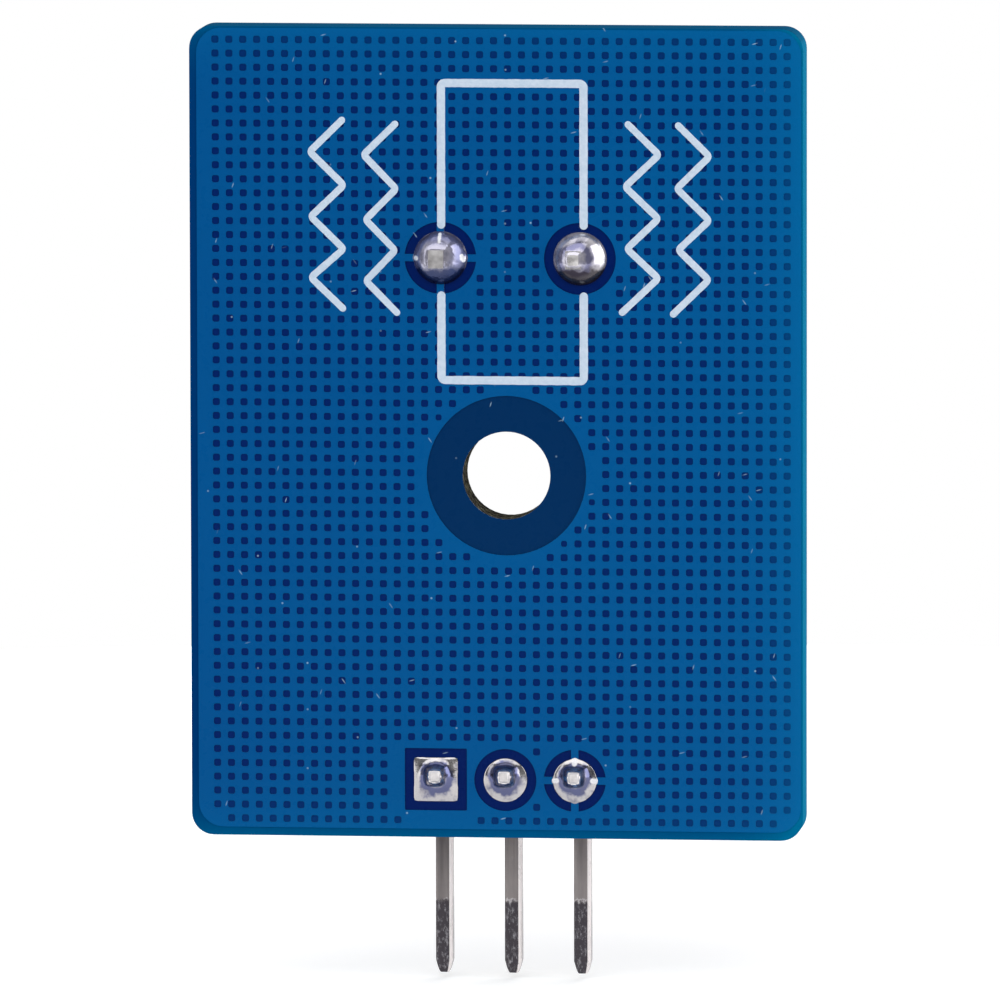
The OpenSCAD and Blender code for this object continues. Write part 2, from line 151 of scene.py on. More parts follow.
def noise(tree, coords, per_mm, stretch=(1, 1, 1), detail=3.0, rough=0.55):
    """Noise with per_mm features a millimetre, stretched along the axes."""
    mapping = tree.nodes.new("ShaderNodeMapping")
    mapping.inputs["Scale"].default_value = [per_mm * 1000 / s for s in stretch]
    tree.links.new(coords.outputs["Object"], mapping.inputs["Vector"])
    tex = tree.nodes.new("ShaderNodeTexNoise")
    tex.inputs["Scale"].default_value = 1.0
    tex.inputs["Detail"].default_value = detail
    tex.inputs["Roughness"].default_value = rough
    tree.links.new(mapping.outputs["Vector"], tex.inputs["Vector"])
    return tex.outputs["Fac"]


def ramp(tree, value, low, high, a, b):
    """Value from low to high turned into a to b; a and b are numbers or colours."""
    if isinstance(a, tuple):
        node = tree.nodes.new("ShaderNodeValToRGB")
        node.color_ramp.elements[0].position = low
        node.color_ramp.elements[1].position = high
        node.color_ramp.elements[0].color = (*a, 1)
        node.color_ramp.elements[1].color = (*b, 1)
        tree.links.new(value, node.inputs["Fac"])
        return node.outputs["Color"]
    node = tree.nodes.new("ShaderNodeMapRange")
    for key, number in zip(("From Min", "From Max", "To Min", "To Max"), (low, high, a, b)):
        node.inputs[key].default_value = number
    tree.links.new(value, node.inputs["Value"])
    return node.outputs["Result"]


def mix(tree, factor, a, b):
    """Colour a blended to b by the factor socket; a and b are sockets or colours."""
    node = tree.nodes.new("ShaderNodeMix")
    node.data_type = "RGBA"
    for key, item in (("Factor", factor), ("A", a), ("B", b)):
        socket = [s for s in node.inputs if s.name == key and s.enabled][0]
        if isinstance(item, tuple):
            socket.default_value = (*item, 1)
        else:
            tree.links.new(item, socket)
    return [s for s in node.outputs if s.enabled][0]


def calc(tree, operation, a, b):
    """A Math node; a and b are sockets or numbers."""
    node = tree.nodes.new("ShaderNodeMath")
    node.operation = operation
    for socket, item in zip(node.inputs, (a, b)):
        if isinstance(item, (int, float)):
            socket.default_value = item
        else:
            tree.links.new(item, socket)
    return node.outputs[0]


def bump(tree, bsdf, height, strength, distance_mm):
    node = tree.nodes.new("ShaderNodeBump")
    node.inputs["Strength"].default_value = strength
    node.inputs["Distance"].default_value = distance_mm * MM
    tree.links.new(height, node.inputs["Height"])
    tree.links.new(node.outputs["Normal"], bsdf.inputs["Normal"])


def axes_of(tree, coords):
    """The object coordinates' X, Y and Z sockets."""
    split = tree.nodes.new("ShaderNodeSeparateXYZ")
    tree.links.new(coords.outputs["Object"], split.inputs["Vector"])
    return [split.outputs[axis] for axis in "XYZ"]


def from_hole(tree, coords):
    """Distance from the origin: the mounting hole's centre, or the floor's."""
    length = tree.nodes.new("ShaderNodeVectorMath")
    length.operation = "LENGTH"
    tree.links.new(coords.outputs["Object"], length.inputs[0])
    return length.outputs["Value"]


def flecks(tree, coords, per_mm, size, share, stretch=1.0, turn=0.0):
    """Small specks or short scratches: a share of the cells of a Voronoi pattern hold one each, of
    a size given in cells. stretch draws them out along the board's height, turned by turn degrees."""
    mapping = tree.nodes.new("ShaderNodeMapping")
    mapping.vector_type = "TEXTURE"
    unit = 1 / (per_mm * 1000)
    mapping.inputs["Rotation"].default_value = (0, math.radians(turn), 0)
    mapping.inputs["Scale"].default_value = (unit, unit, unit * stretch)
    tree.links.new(coords.outputs["Object"], mapping.inputs["Vector"])
    place = tree.nodes.new("ShaderNodeSeparateXYZ")
    tree.links.new(mapping.outputs["Vector"], place.inputs["Vector"])
    flat = tree.nodes.new("ShaderNodeCombineXYZ")
    tree.links.new(place.outputs["X"], flat.inputs["X"])
    tree.links.new(place.outputs["Z"], flat.inputs["Y"])
    cell = tree.nodes.new("ShaderNodeTexVoronoi")
    cell.voronoi_dimensions = "2D"
    cell.inputs["Scale"].default_value = 1.0
    tree.links.new(flat.outputs["Vector"], cell.inputs["Vector"])
    near = ramp(tree, cell.outputs["Distance"], size * 0.5, size, 1.0, 0.0)
    split = tree.nodes.new("ShaderNodeSeparateColor")
    tree.links.new(cell.outputs["Color"], split.inputs["Color"])
    chosen = ramp(tree, split.outputs["Red"], 1 - share, 1 - share + 0.01, 0.0, 1.0)
    return calc(tree, "MULTIPLY", near, chosen)


def edge_glow(tree, coords, reach_mm):
    """1 at the board's top, right and bottom edges, fading inwards: light the laminate carries in."""
    x, _, z = axes_of(tree, coords)
    total = None
    sides = ((x, board_hi.x, 1.0), (z, board_hi.z, 0.45), (z, board_lo.z, 0.5))
    for axis, edge, weight in sides:
        away = calc(tree, "ABSOLUTE", calc(tree, "SUBTRACT", axis, edge * MM), 0)
        near = calc(tree, "EXPONENT", calc(tree, "MULTIPLY", away, -1 / (reach_mm * MM)), 0)
        near = calc(tree, "MULTIPLY", near, weight)
        total = near if total is None else calc(tree, "ADD", total, near)
    return total


# Scratches in the mask: how they are turned, in degrees, and how many cells a millimetre holds
SCRATCHES = ((18, 1.5), (-35, 1.3), (75, 1.4))
DUST_COLOUR = (0.38, 0.55, 0.68)
GLOW_REACH = 0.9


def mask_material(name, base, other, rough, glow=None, specular=0.05):
    """Solder mask: slow drift of tint from base to other, orange peel, dust and handling marks.
    glow is its colour where light comes through the laminate at the board's edges."""
    mat, tree, bsdf, coords = new_material(name, base, rough, specular=specular)
    x = axes_of(tree, coords)[0]
    across = ramp(tree, x, board_lo.x * MM, board_hi.x * MM, 0.0, 0.8)
    cloudy = ramp(tree, noise(tree, coords, 0.12, detail=2.0), 0.35, 0.65, 0.0, 0.3)
    drift = mix(tree, calc(tree, "ADD", across, cloudy), base, other)
    if glow:
        drift = mix(tree, edge_glow(tree, coords, GLOW_REACH), drift, glow)
    cloud = noise(tree, coords, 2.5, detail=4.0)
    tint = mix(tree, ramp(tree, cloud, 0.3, 0.8, 0.0, 0.18), drift, other)
    dust = flecks(tree, coords, 1.1, 0.05, 0.05)
    for turn, per_mm in SCRATCHES:
        dust = calc(tree, "MAXIMUM", dust, flecks(tree, coords, per_mm, 0.035, 0.1, 5.0, turn))
    worn = calc(tree, "MULTIPLY", dust, ramp(tree, cloud, 0.35, 0.6, 0.15, 0.6))
    tree.links.new(mix(tree, worn, tint, DUST_COLOUR), bsdf.inputs["Base Color"])
    tree.links.new(ramp(tree, cloud, 0.3, 0.7, rough * 0.85, rough * 1.25), bsdf.inputs["Roughness"])
    bump(tree, bsdf, noise(tree, coords, 3.0, detail=2.0), 0.12, 0.01)
    return mat


def plain_material(name, base, rough, metallic=0.0, grain=6.0, spread=0.12, depth=0.004,
                   stretch=(1, 1, 1)):
    """Base colour with a fine grain in its tint, gloss and surface."""
    mat, tree, bsdf, coords = new_material(name, base, rough, metallic)
    value = noise(tree, coords, grain, stretch)
    dark = tuple(c * (1 - spread) for c in base)
    light = tuple(min(1.0, c * (1 + spread)) for c in base)
    tree.links.new(ramp(tree, value, 0.3, 0.7, dark, light), bsdf.inputs["Base Color"])
    tree.links.new(ramp(tree, value, 0.3, 0.7, rough * 0.8, rough * 1.2), bsdf.inputs["Roughness"])
    bump(tree, bsdf, value, 0.4, depth)
    return mat


def bands(tree, value, stops):
    """A colour ramp through (position, colour) stops."""
    node = tree.nodes.new("ShaderNodeValToRGB")
    elements = node.color_ramp.elements
    while len(elements) < len(stops):
        elements.new(0.5)
    for element, (place, colour) in zip(elements, stops):
        element.position = place
        element.color = (*colour, 1)
    tree.links.new(value, node.inputs["Fac"])
    return node.outputs["Color"]


def near_spots(tree, coords, spots):
    """1 near any of the (x, z, radius) places on the solder side."""
    flat = tree.nodes.new("ShaderNodeVectorMath")
    flat.operation = "MULTIPLY"
    flat.inputs[1].default_value = (1, 0, 1)
    tree.links.new(coords.outputs["Object"], flat.inputs[0])
    total = None
    for x, z, radius in spots:
        away = tree.nodes.new("ShaderNodeVectorMath")
        away.operation = "DISTANCE"
        away.inputs[1].default_value = (x * MM, 0, z * MM)
        tree.links.new(flat.outputs["Vector"], away.inputs[0])
        near = ramp(tree, away.outputs["Value"], radius * 0.6 * MM, radius * MM, 1.0, 0.0)
        total = near if total is None else calc(tree, "MAXIMUM", total, near)
    return total


# Colour of the painted dark reflection that clouds the solder
DARK_REFLECTION = (0.13, 0.13, 0.19)
BRIGHT_TIN = (0.8, 0.8, 0.84)


def solder_material(name, stops, reflection_patch, run=None, shade_colour=None, rough=0.03, spots=(), metal=1.0):
    """Tin solder with cooling ripples. stops colour it by its height off the board, as painted
    reflections: bright bands, and a dark blue band round its middle where the board would mirror.
    reflection_patch is how strongly clouds of painted dark reflection cover it. Below the height run up
    the board it is darkened to shade_colour as painted shade, and bright tin has set on the spots
    (x, z, radius). A metal below 1 is tin under a thicker film."""
    mat, tree, bsdf, coords = new_material(name, (0.5, 0.49, 0.48), 0.16, metal)
    ripple = noise(tree, coords, 3.0, detail=4.0)
    _, y, up = axes_of(tree, coords)
    height = calc(tree, "MULTIPLY", y, -1 / MM)
    wander = calc(tree, "MULTIPLY", calc(tree, "SUBTRACT", ripple, 0.5), 0.25)
    colour = bands(tree, calc(tree, "ADD", height, wander), stops)
    patches = noise(tree, coords, 1.7, detail=3.0)
    # Clouds of painted dark reflection over the solder
    colour = mix(tree, ramp(tree, patches, 0.52, 0.66, 0.0, reflection_patch), colour, DARK_REFLECTION)
    bare = ramp(tree, patches, 0.3, 0.7, metal - 0.1, metal)
    if run is not None:
        # Painted shade over the lower part of the joint, below the height run
        low = calc(tree, "ADD", up, calc(tree, "MULTIPLY", wander, 2 * MM))
        dark = ramp(tree, low, run * MM, (run - 0.25) * MM, 0.0, 0.9)
        colour = mix(tree, dark, colour, shade_colour)
        bare = calc(tree, "MAXIMUM", bare, dark)
    if spots:
        near = near_spots(tree, coords, spots)
        colour = mix(tree, near, colour, BRIGHT_TIN)
        bare = calc(tree, "MINIMUM", bare, ramp(tree, near, 0.0, 1.0, 1.0, 0.1))
    tree.links.new(bare, bsdf.inputs["Metallic"])
    tree.links.new(colour, bsdf.inputs["Base Color"])
    tree.links.new(ramp(tree, ripple, 0.3, 0.7, 0.22, 0.1), bsdf.inputs["Roughness"])
    bump(tree, bsdf, noise(tree, coords, 2.2, detail=3.0), 0.5, rough)
    return mat


# Sockets have worn the pins below this height, and pushed up a bright burr there
GRIP_TOP = -15.9
BURR_COLOUR = (0.6, 0.57, 0.58)


def pin_material(name, clean_low, clean_high, worn_low, worn_high, rough):
    """Tinned pin: drawn lines along it, and a scuffed part where sockets grip it. Each part's tint
    runs from its low to its high colour."""
    mat, tree, bsdf, coords = new_material(name, clean_low, rough, 1.0)
    lines = noise(tree, coords, 1.6, (1, 1, 16), detail=5.0)
    scuffs = noise(tree, coords, 9.0, (1, 1, 2.0), detail=6.0, rough=0.75)
    up = axes_of(tree, coords)[2]
    wander = calc(tree, "MULTIPLY", calc(tree, "SUBTRACT", scuffs, 0.5), 0.6 * MM)
    edge = calc(tree, "ADD", up, wander)
    used = ramp(tree, edge, (GRIP_TOP + 0.1) * MM, (GRIP_TOP - 0.1) * MM, 0.0, 1.0)
    # Painted shade: the clean metal is darker just under the board and lighter two millimetres lower
    lower = ramp(tree, up, board_lo.z * MM, (board_lo.z - 2.0) * MM, -0.12, 0.08)
    clean = ramp(tree, calc(tree, "ADD", lines, lower), 0.35, 0.65, clean_low, clean_high)
    worn = ramp(tree, scuffs, 0.52, 0.68, worn_low, worn_high)
    ridge = (GRIP_TOP + 0.02) * MM
    burr = calc(tree, "MULTIPLY", ramp(tree, edge, ridge - 0.05 * MM, ridge, 0.0, 1.0),
                ramp(tree, edge, ridge, ridge + 0.06 * MM, 1.0, 0.0))
    burr = calc(tree, "MULTIPLY", burr, ramp(tree, lines, 0.45, 0.55, 0.0, 0.8))
    coat = mix(tree, burr, mix(tree, used, clean, worn), BURR_COLOUR)
    tree.links.new(coat, bsdf.inputs["Base Color"])
    tree.links.new(ramp(tree, scuffs, 0.35, 0.7, rough * 0.8, rough * 1.4), bsdf.inputs["Roughness"])
    bump(tree, bsdf, scuffs, 0.35, 0.01)
    return mat


def laminate_material():
    """Matt cut edge of glass-epoxy: thin plies along the board, tinted blue by the mask at the outline,
    with painted shade on its top wall and painted light on its left and right walls, and bare brown
    resin with pale glass ends in the mounting hole, painted dark there as the hole's shade."""
    mat, tree, bsdf, coords = new_material("laminate", (0.01, 0.13, 0.28), 0.6, specular=0.0)
    plies = noise(tree, coords, 9.0, (10, 1, 10), detail=3.0)
    patches = noise(tree, coords, 0.8, detail=3.0)
    tinted = ramp(tree, plies, 0.35, 0.65, (0.008, 0.15, 0.3), (0.012, 0.185, 0.34))
    olive = ramp(tree, plies, 0.35, 0.65, (0.03, 0.14, 0.2), (0.07, 0.2, 0.22))
    outline = mix(tree, ramp(tree, patches, 0.58, 0.72, 0.0, 0.35), tinted, olive)
    x, _, z = axes_of(tree, coords)
    # Painted light and shade on the cut edge: the top wall darker, the left wall lighter, and the right
    # wall lighter as a painted highlight
    for axis, start, end, a, b, colour in (
            (z, board_hi.z - 0.8, board_hi.z, 0.0, 0.85, (0.006, 0.06, 0.14)),
            (x, board_lo.x, board_lo.x + 0.3, 0.8, 0.0, (0.045, 0.3, 0.36)),
            (x, board_hi.x - 0.1, board_hi.x, 0.0, 0.7, (0.01, 0.21, 0.38))):
        outline = mix(tree, ramp(tree, axis, start * MM, end * MM, a, b), outline, colour)
    # In the mounting hole the wall is painted down to near black as painted shade
    ends = noise(tree, coords, 5.0, detail=4.0)
    bare = ramp(tree, ends, 0.45, 0.7, (0.03, 0.028, 0.026), (0.2, 0.19, 0.13))
    at_hole = ramp(tree, from_hole(tree, coords), (HOLE_D - 0.2) * MM, HOLE_D * MM, 1.0, 0.0)
    tree.links.new(mix(tree, at_hole, outline, bare), bsdf.inputs["Base Color"])
    bump(tree, bsdf, plies, 0.5, 0.02)
    return mat


def ink_material():
    """White printed ink: slightly blue where it is thin, with a dry grain."""
    mat, tree, bsdf, coords = new_material("ink", (0.62, 0.72, 0.86), 0.5)
    grain = noise(tree, coords, 7.0, detail=4.0)
    tree.links.new(ramp(tree, grain, 0.3, 0.65, (0.5, 0.62, 0.76), (0.6, 0.7, 0.83)),
                   bsdf.inputs["Base Color"])
    bump(tree, bsdf, grain, 0.5, 0.01)
    return mat


MASK_OVER_COPPER = mask_material("mask_over_copper", (0.0, 0.077, 0.265), (0.0, 0.096, 0.295), 0.28,
                                 (0.0, 0.125, 0.34))
# Where no copper lies under it: in the hatch, round the screw hole, round the pads, at the edges
MASK_OVER_LAMINATE = [
    mask_material("mask_in_windows", (0.0, 0.015, 0.122), (0.0, 0.019, 0.128), 0.3, (0.0, 0.085, 0.25)),
    mask_material("mask_round_hole", (0.0, 0.024, 0.1), (0.0, 0.028, 0.108), 0.28),
    mask_material("mask_round_pads", (0.0, 0.01, 0.1), (0.0, 0.012, 0.108), 0.28),
    mask_material("mask_at_edges", (0.0, 0.034, 0.15), (0.0, 0.038, 0.16), 0.28, (0.0, 0.15, 0.31),
                  0.0),
]
FRONT_LAMINATE = mask_material("front_laminate", (0.0, 0.05, 0.2), (0.0, 0.06, 0.22), 0.28)
# Bright tin on the right header pad's spokes, and on the left switch pad's spokes and along the
# printed line that runs onto it: places from the pad's centre, and radii
HEADER_SPOTS = ((-0.74, 0, 0.12), (-0.66, 0, 0.12), (0.74, 0, 0.12), (0.66, 0, 0.12),
                (0, 0.72, 0.12), (0, 0.64, 0.12))
SWITCH_SPOTS = ((-0.87, 0, 0.12), (0.84, 0, 0.12), (0.8, 0.1, 0.08), (0.86, -0.08, 0.08),
                (0, 0.86, 0.08), (0, 0.8, 0.08), (0, 0.74, 0.08), (0, 0.68, 0.07), (0, 0.62, 0.07))
# The stops paint reflections by height: bright bands where white would mirror, dark blue bands where
# the board would
HEADER_SOLDER = solder_material(
    "header_solder",
    ((0.04, (0.55, 0.53, 0.53)), (0.11, (0.5, 0.48, 0.49)), (0.16, (0.12, 0.13, 0.24)),
     (0.27, (0.13, 0.14, 0.26)), (0.36, (0.4, 0.38, 0.42)), (0.5, (0.75, 0.72, 0.72))),
    reflection_patch=0.7, spots=[(header_x[2] + dx, header_z + dz, r) for dx, dz, r in HEADER_SPOTS])
SWITCH_SOLDER = solder_material(
    "switch_solder",
    ((0.05, (0.6, 0.57, 0.58)), (0.25, (0.78, 0.75, 0.78)), (0.42, (0.6, 0.58, 0.66)),
     (0.5, (0.2, 0.2, 0.33)), (0.57, (0.22, 0.22, 0.36)), (0.64, (0.58, 0.56, 0.64))),
    reflection_patch=0.5, run=7.74, shade_colour=(0.02, 0.014, 0.016), metal=0.75)
ROUGH_SOLDER = solder_material(
    "rough_solder",
    ((0.03, (0.6, 0.58, 0.6)), (0.1, (0.1, 0.11, 0.22)), (0.4, (0.22, 0.23, 0.38)),
     (0.58, (0.45, 0.44, 0.54))),
    reflection_patch=0.7, run=7.73, shade_colour=(0.015, 0.03, 0.1), rough=0.07,
    spots=[(switch_x[0] + dx, switch_z + dz, r) for dx, dz, r in SWITCH_SPOTS], metal=0.65)
SOLDERED_TIP = plain_material("soldered_tip", (0.62, 0.6, 0.6), 0.3, 0.5, 2.5, 0.35, 0.02)
# The front and back faces of a pin are dull, and its sides are lighter
PIN_METAL = pin_material("pin_metal", (0.1, 0.09, 0.092), (0.26, 0.235, 0.23), (0.065, 0.058, 0.066),
                         (0.34, 0.33, 0.35), 0.34)
PIN_SIDE = pin_material("pin_side", (0.3, 0.28, 0.28), (0.4, 0.38, 0.38), (0.2, 0.19, 0.2),
                        (0.4, 0.39, 0.4), 0.3)
PIN_TIP = plain_material("pin_tip", (0.72, 0.69, 0.69), 0.35, 0.4, 4.0, 0.2, 0.01)
# Painted highlight along the front right corner edge of each pin
PIN_HIGHLIGHT = plain_material("pin_highlight", (0.86, 0.8, 0.79), 0.3, 0.5, 6.0, 0.1, 0.004, (1, 1, 10))
# By slot: colour, roughness and metal, then grain, spread and depth where they aren't the usual
PLAIN = {
    "copper": ((0.72, 0.38, 0.22), 0.3, 1.0),
    "lead_tin": ((0.5, 0.485, 0.49), 0.35, 0.6, 3.0, 0.3, 0.01),
    "chip_tin": ((0.7, 0.7, 0.7), 0.32, 1.0, 8.0),
    "gold": ((0.83, 0.6, 0.24), 0.2, 1.0),
    "header_plastic": ((0.012, 0.012, 0.013), 0.45, 0.0, 12.0, 0.3),
    "case_plastic": ((0.014, 0.014, 0.016), 0.38, 0.0, 14.0, 0.3, 0.006),
    "potting": ((0.05, 0.04, 0.025), 0.25, 0.0, 1.5),
    "insulator": ((0.75, 0.72, 0.62), 0.5, 0.0, 5.0),
    "alumina": ((0.82, 0.82, 0.8), 0.5, 0.0, 10.0, 0.06),
    "resistor_glaze": ((0.012, 0.012, 0.014), 0.22, 0.0, 4.0),
    "capacitor_ceramic": ((0.36, 0.24, 0.13), 0.45, 0.0, 9.0),
}
SLOT_MATERIALS = {slot: plain_material(slot, *looks) for slot, looks in PLAIN.items()}
SLOT_MATERIALS.update(laminate=laminate_material(), mask=MASK_OVER_COPPER, ink=ink_material(),
                      solder=HEADER_SOLDER, pin_metal=PIN_METAL)
for part in frame["record"]["subparts"]:
    slots = frame["nodes"][part["node"]].data.materials
    slots.clear()
    slots.append(SLOT_MATERIALS[part["material_slot"]])
# The mask leaves only pads and plated holes bare, and those are tinned
for tinned in ("header_plated_holes", "switch_plated_holes", "front_copper_tracks"):
    frame["nodes"][tinned].data.materials[0] = SLOT_MATERIALS["lead_tin"]

# ---- mesh tools ----


def add_object(name, data):
    """A scene object of this data."""
    obj = bpy.data.objects.new(name, data)
    bpy.context.scene.collection.objects.link(obj)
    return obj


def add_piece(name, verts, faces, slot, node, smooth=None, materials=None, indices=None):
    """A mesh object from points in millimetres, in place of a CAD node on the board. It is smooth
    up to an angle in degrees. It has its slot's material, or indices pick each face's from
    materials."""
    mesh = bpy.data.meshes.new(name)
    mesh.from_pydata([[c * MM for c in v] for v in verts], [], faces)
    for mat in materials or [SLOT_MATERIALS[slot]]:
        mesh.materials.append(mat)
    if indices:
        mesh.polygons.foreach_set("material_index", indices)
    mesh.validate()
    obj = add_object(name, mesh)
    if smooth is not None:
        mesh.shade_smooth()
        mesh.set_sharp_from_angle(angle=math.radians(smooth))
    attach(obj, BODY)
    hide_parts(node)


class Mesh:
    """Points and faces gathered from several shapes."""

    def __init__(self):
        self.verts = []
        self.faces = []

    def loft(self, rings):
        """Skin a row of rings with the same number of points; the ends are closed flat."""
        start = len(self.verts)
        count = len(rings[0])
        for ring in rings:
            self.verts.extend(ring)
        for k in range(len(rings) - 1):
            for i in range(count):
                j = (i + 1) % count
                a = start + k * count
                b = a + count
                self.faces.append((a + i, a + j, b + j, b + i))
        self.faces.append(tuple(reversed(range(start, start + count))))
        last = start + (len(rings) - 1) * count
        self.faces.append(tuple(range(last, last + count)))


def circle_points(x, z, r, count=64):
    return [(x + r * math.cos(t), z + r * math.sin(t))
            for t in (2 * math.pi * k / count for k in range(count))]


def rect_points(x0, z0, x1, z1, r=0.0, steps=8):
    """Rectangle, counter-clockwise, with corners of radius r."""
    if r <= 0:
        return [(x0, z0), (x1, z0), (x1, z1), (x0, z1)]
    points = []
    for cx, cz, start in ((x1 - r, z0 + r, -90), (x1 - r, z1 - r, 0), (x0 + r, z1 - r, 90),
                          (x0 + r, z0 + r, 180)):
        for k in range(steps + 1):
            t = math.radians(start + 90 * k / steps)
            points.append((cx + r * math.cos(t), cz + r * math.sin(t)))
    return points


def triangulate(loops):
    """Points and triangles of the plane, with every loop's edges kept."""
    points = []
    edges = []
    for loop in loops:
        start = len(points)
        points.extend(Vector(p) for p in loop)
        edges.extend((start + k, start + (k + 1) % len(loop)) for k in range(len(loop)))
    out = delaunay_2d_cdt(points, edges, [], 0, 1e-5)
    return [tuple(v) for v in out[0]], [tuple(f) for f in out[2]]


def relief_sheet(name, loops, level_of, floor_y, node, materials):
    """A sheet of mask in the XZ plane. level_of(x, z) gives (surface y, material index), or None
    where the sheet is open. Steps between levels get walls, and the underside lies at floor_y."""
    points, triangles = triangulate(loops)
    outward = -1 if floor_y < board_hi.y / 2 else 1
    verts = []
    faces = []
    indices = []
    known = {}

    def vert(i, y):
        key = (i, y)
        if key not in known:
            known[key] = len(verts)
            verts.append((points[i][0], y, points[i][1]))
        return known[key]

    edge_level = {}
    for tri in triangles:
        cx = sum(points[i][0] for i in tri) / 3
        cz = sum(points[i][1] for i in tri) / 3
        level = level_of(cx, cz)
        if level is None:
            continue
        y, index = level
        order = tri if outward < 0 else tri[::-1]
        faces.append(tuple(vert(i, y) for i in order))
        indices.append(index)
        faces.append(tuple(vert(i, floor_y) for i in order[::-1]))
        indices.append(index)
        for k in range(3):
            edge_level[(order[k], order[(k + 1) % 3])] = level
    for (a, b), (y, index) in edge_level.items():
        y_other, index_other = edge_level.get((b, a), (floor_y, index))
        if (y - y_other) * outward > 1e-6:
            faces.append((vert(b, y), vert(a, y), vert(a, y_other), vert(b, y_other)))
            indices.append(index_other if (b, a) in edge_level else index)
    add_piece(name, verts, faces, "mask", node, None, materials, indices)


def ribbon(mesh, path, width, y, rise, wobble, steps=5):
    """A raised, round-ended line along path on the solder side, crowned across its width. wobble is
    how unevenly its edges run, as a share of the width."""
    half = width / 2
    points = round_corners(path, half * 1.08)
    lengths = [0.0]
    for a, b in zip(points, points[1:]):
        lengths.append(lengths[-1] + math.dist(a, b))
    total = lengths[-1]
    rings = []
    for k, point in enumerate(points):
        before = points[max(k - 1, 0)]
        after = points[min(k + 1, len(points) - 1)]
        heading = math.atan2(after[1] - before[1], after[0] - before[0])
        side = (-math.sin(heading), math.cos(heading))
        run = min(lengths[k], total - lengths[k])
        grow = math.sqrt(max(0.0, 1 - max(0.0, 1 - run / half) ** 2))
        reach = max(0.02, half * grow) * (1 + wobble * (random.random() - 0.5))
        section = [-1 + 2 * s / (steps - 1) for s in range(steps)]
        section = [(a, rise * (0.55 + 0.45 * (1 - a ** 2)) * max(0.3, grow)) for a in section]
        rings.append([(point[0] + side[0] * reach * across, y - lift,
                       point[1] + side[1] * reach * across)
                      for across, lift in section + [(1, 0), (-1, 0)]])
    mesh.loft(rings)


def round_corners(path, r, spacing=0.12):
    """Points along path, close together, with its corners turned on a radius."""
    out = []
    for k, p in enumerate(path):
        if k in (0, len(path) - 1):
            out.append(p)
            continue
        a, b = path[k - 1], path[k + 1]
        u = [(a[0] - p[0]) / math.dist(a, p), (a[1] - p[1]) / math.dist(a, p)]
        v = [(b[0] - p[0]) / math.dist(b, p), (b[1] - p[1]) / math.dist(b, p)]
        cosine = u[0] * v[0] + u[1] * v[1]
        cut = r / math.tan(math.acos(max(-1.0, min(1.0, cosine))) / 2)
        start = (p[0] + u[0] * cut, p[1] + u[1] * cut)
        end = (p[0] + v[0] * cut, p[1] + v[1] * cut)
        for s in range(7):
            t = s / 6
            out.append(tuple((1 - t) ** 2 * start[i] + 2 * t * (1 - t) * p[i] + t * t * end[i]
                             for i in (0, 1)))
    dense = [out[0]]
    for p in out[1:]:
        gap = math.dist(dense[-1], p)
        pieces = max(1, int(gap / spacing))
        q = dense[-1]
        for s in range(1, pieces + 1):
            dense.append((q[0] + (p[0] - q[0]) * s / pieces, q[1] + (p[1] - q[1]) * s / pieces))
    # Close steps at both ends let the round caps show
    head, tail = [[(a[0] + (b[0] - a[0]) * t, a[1] + (b[1] - a[1]) * t)
                   for t in (0.0, 0.08, 0.2, 0.4, 0.7)]
                  for a, b in ((dense[0], dense[1]), (dense[-1], dense[-2]))]
    return head + dense[1:-1] + tail[::-1]


# ---- solder side: mask over the hatched copper ----

BACK_TOP = -(COPPER_T + MASK_T)
BACK_LOW = -MASK_T
# The windows' floor lies just over the plain copper of the CAD pour
BACK_WINDOW = -(COPPER_T + 0.004)
FRONT_TOP = BOARD_T + COPPER_T + MASK_T
FRONT_LOW = BOARD_T + MASK_T


def clearances():
    """Shapes left clear of copper round the holes: centre, half size, whether square, and how far
    out the hatch starts."""
    gap = PAD_GAP - CLEARANCE_LAP
    pad = header_pad / 2 + gap
    pads = [(x, header_z, pad, k == 0, HEADER_START if k else SQUARE_START)
            for k, x in enumerate(header_x)]
    pads += [(x, switch_z, switch_pad / 2 + gap, False, SWITCH_START) for x in switch_x]
    return pads + [(0.0, 0.0, HOLE_RING_D / 2 - CLEARANCE_LAP, False, HOLE_START)]


def inside(shape, x, z):
    """Whether a point is in a square or round shape: centre, half size, whether square."""
    cx, cz, half, square = shape[:4]
    dx, dz = abs(x - cx), abs(z - cz)
    return (max(dx, dz) if square else math.hypot(dx, dz)) < half


def hatch_may_start(shape, x, z):
    """Whether a window at (x, z) is far enough from a clearance, at its sides or its corners."""
    cx, cz, _, square, start = shape
    if not square:
        return math.hypot(x - cx, z - cz) > start
    dx, dz = abs(x - cx), abs(z - cz)
    pad = header_pad / 2
    return max(dx, dz) > start or math.hypot(max(dx - pad, 0), max(dz - pad, 0)) > SQUARE_CORNER


def shape_loop(shape):
    """Outline of a square or round shape."""
    cx, cz, half, square = shape[:4]
    if square:
        return rect_points(cx - half, cz - half, cx + half, cz + half, 0.04, 3)
    return circle_points(cx, cz, half)


def window_points(x, z, scale):
    """Outline of a hatch window: a small square with its corners cut."""
    h = HATCH_WINDOW / 2 * scale
    c = HATCH_BEVEL
    return [(x - h + c, z - h), (x + h - c, z - h), (x + h, z - h + c), (x + h, z + h - c),
            (x + h - c, z + h), (x - h + c, z + h), (x - h, z + h - c), (x - h, z - h + c)]


def mask_openings():
    """Openings in the mask over the pads and the screw hole."""
    pads = [(x, header_z, header_pad / 2 + MASK_GAP, k == 0) for k, x in enumerate(header_x)]
    pads += [(x, switch_z, switch_pad / 2 + MASK_GAP, False) for x in switch_x]
    return pads + [(0.0, 0.0, HOLE_D / 2, False)]


